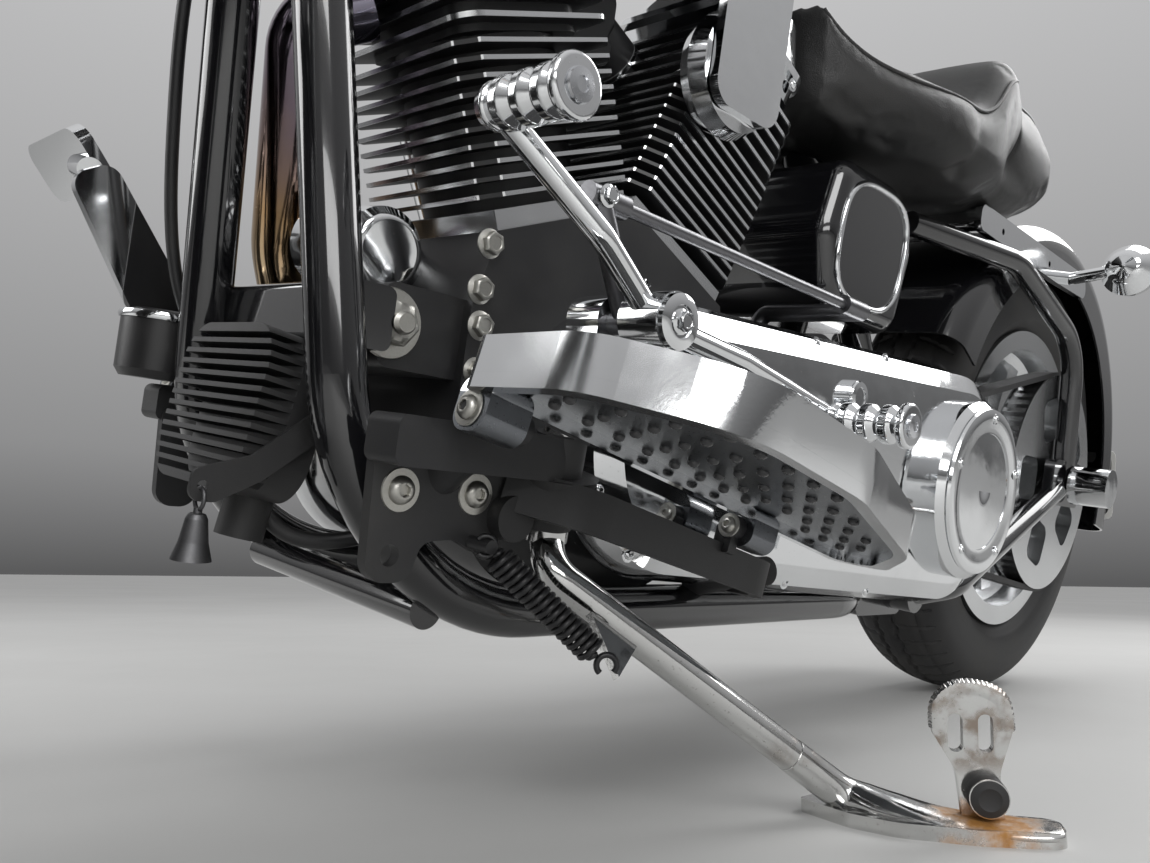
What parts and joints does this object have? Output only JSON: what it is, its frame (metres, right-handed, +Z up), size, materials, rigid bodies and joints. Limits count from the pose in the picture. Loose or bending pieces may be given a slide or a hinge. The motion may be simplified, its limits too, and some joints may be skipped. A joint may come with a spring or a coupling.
{
  "type": "motorcycle",
  "caption": "cruiser motorcycle with V engine, footboards, belt drive and solo-style seat, parked leaning on its side stand",
  "frame": {"origin": "on the floor under the middle of the bounding box, as it stands on its side stand", "axes": "+X ahead along the rear wheel's track, +Y to the rider's left, +Z up"},
  "size_m": [2.3315, 0.7992, 1.4099],
  "materials": {
    "black_paint": "gloss black frame and bodywork",
    "black_satin": "satin black castings",
    "black_fins": "satin black with bright fin edges",
    "chrome": "polished chrome",
    "alloy": "bright cast alloy",
    "steel": "ground steel",
    "zinc": "satin zinc plate under a chrome rim",
    "tyre": "black tyre rubber",
    "rubber": "black rubber",
    "belt": "toothed belt",
    "leather": "black seat cover",
    "pewter": "dull grey cast metal",
    "lamp": "chrome shell with a glass front"
  },
  "bodies": {
    "chassis": {"frame_spine": "black_paint", "frame_rails": "black_paint", "swingarm": "black_paint", "rear_axle": "chrome", "crankcase": "black_satin", "cam_cover": "chrome", "front_cylinder": "black_fins", "rear_cylinder": "black_fins", "cylinder_heads": "black_fins", "rocker_covers": "chrome", "pushrod_tubes": "chrome", "intake": "black_satin", "air_cleaner": "chrome", "primary_cover": "chrome", "gearbox": "black_satin", "oil_tank": "black_paint", "exhaust_pipes": "chrome", "mufflers": "chrome", "regulator": "black_satin", "oil_filter": "chrome", "horn": "chrome", "left_bracket": "black_satin", "right_bracket": "black_satin", "stand_spring": "steel", "drive_belt": "belt", "belt_pulley": "alloy", "shift_lever": "chrome", "shift_linkage": "chrome", "brake_pedal": "chrome", "fuel_tank": "black_paint", "tank_console": "chrome", "rear_fender": "black_paint", "fender_struts": "chrome", "seat": "leather", "rear_lamps": "lamp", "rear_caliper": "black_satin", "bell": "pewter"},
    "fork": {"fork_sliders": "alloy", "front_axle": "chrome", "fork_yokes": "black_paint", "front_fender": "black_paint", "front_caliper": "black_satin", "headlamp": "lamp", "handlebar": "chrome", "grips": "rubber", "hand_controls": "chrome", "front_signals": "lamp"},
    "front_wheel": {"front_rim": "alloy", "front_tyre": "tyre", "front_disc": "steel"},
    "rear_wheel": {"rear_rim": "alloy", "rear_tyre": "tyre", "rear_disc": "steel", "rear_pulley": "alloy"},
    "side_stand": {"side_stand": "chrome"},
    "board_left": {"floorboard_left": "zinc"},
    "board_right": {"floorboard_right": "zinc"}
  },
  "joints": [
    {"name": "steering", "type": "hinge", "parent": "chassis", "child": "fork", "pos_m": [0.51907, 0.03986, 0.77032], "axis": [-0.5247, 0.156, 0.8369], "range_deg": [-56, 0]},
    {"name": "front_wheel_spin", "type": "hinge", "parent": "fork", "child": "front_wheel", "pos_m": [0.85841, -0.02634, 0.29957], "axis": [-0.4007, 0.8221, -0.4045], "continuous": true},
    {"name": "rear_wheel_spin", "type": "hinge", "parent": "chassis", "child": "rear_wheel", "pos_m": [-0.76703, -0.04604, 0.31935], "axis": [-0.0012, 0.9829, -0.1839], "continuous": true},
    {"name": "side_stand_fold", "type": "hinge", "parent": "chassis", "child": "side_stand", "pos_m": [0.26629, 0.09706, 0.20775], "axis": [0.1098, 0.3378, 0.9348], "range_deg": [0, 38], "deforming": ["stand_spring"]},
    {"name": "board_left_fold", "type": "hinge", "parent": "chassis", "child": "board_left", "pos_m": [0.17804, 0.13666, 0.20242], "axis": [0.9794, 0.0382, 0.1982], "range_deg": [0, 25]},
    {"name": "board_right_fold", "type": "hinge", "parent": "chassis", "child": "board_right", "pos_m": [0.1785, -0.25652, 0.276], "axis": [-0.9794, -0.0382, -0.1982], "range_deg": [0, 25]}
  ]
}
